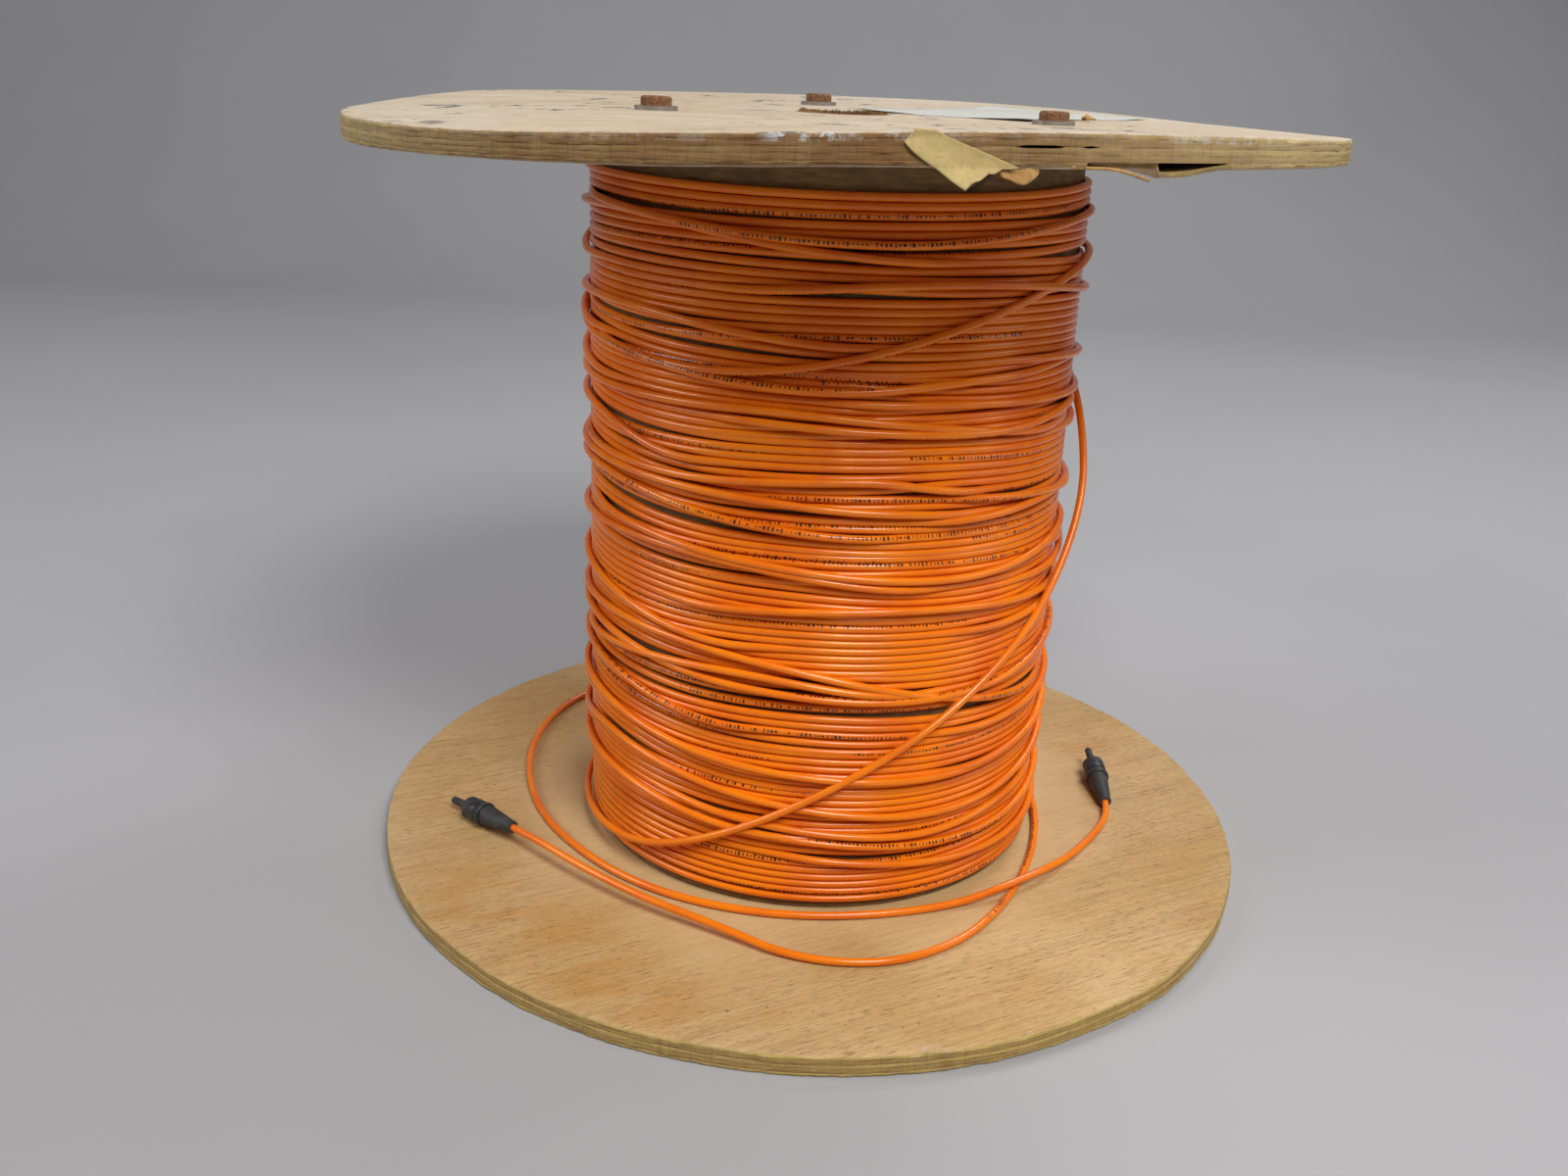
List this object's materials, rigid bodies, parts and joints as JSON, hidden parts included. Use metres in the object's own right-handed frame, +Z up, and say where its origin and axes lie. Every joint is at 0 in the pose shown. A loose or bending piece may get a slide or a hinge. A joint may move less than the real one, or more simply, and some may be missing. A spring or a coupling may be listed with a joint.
{
  "type": "cable reel",
  "caption": "Plywood-flanged cable reel with a fibreboard core, tie bolts and one wound layer of slim orange cable whose two loose ends finish in capped connectors.",
  "frame": {"origin": "on the reel's axis, at the underside of the lower flange", "axes": "+Z up along the arbor bore, -Y towards the picture's viewer, +X to the viewer's right"},
  "size_m": [0.3048, 0.3048, 0.2529],
  "materials": {
    "lower_plywood": "bare plywood, stained",
    "upper_plywood": "bare plywood, weathered and split",
    "core_board": "brown wound fibreboard",
    "cable_jacket": "satin extruded jacket",
    "label_paper": "matt paper",
    "tape_paper": "creped paper tape",
    "rusted_steel": "rusted hexagon heads",
    "washer_steel": "dull zinc",
    "connector_rubber": "matt moulded rubber",
    "connector_plastic": "moulded plastic"
  },
  "bodies": {
    "root": {"lower_flange": "lower_plywood", "upper_flange": "upper_plywood", "core_tube": "core_board", "cable_winding": "cable_jacket", "outer_tail": "cable_jacket", "inner_tail": "cable_jacket", "paper_label": "label_paper", "masking_tape": "tape_paper", "tie_bolt_1": "rusted_steel", "tie_bolt_2": "rusted_steel", "tie_bolt_3": "rusted_steel", "washer_1": "washer_steel", "washer_2": "washer_steel", "washer_3": "washer_steel", "tee_nut_1": "washer_steel", "tee_nut_2": "washer_steel", "tee_nut_3": "washer_steel", "left_boot": "connector_rubber", "left_coupling_sleeve": "connector_plastic", "left_dust_cap": "connector_rubber", "right_boot": "connector_rubber", "right_coupling_sleeve": "connector_plastic", "right_dust_cap": "connector_rubber"}
  },
  "joints": []
}
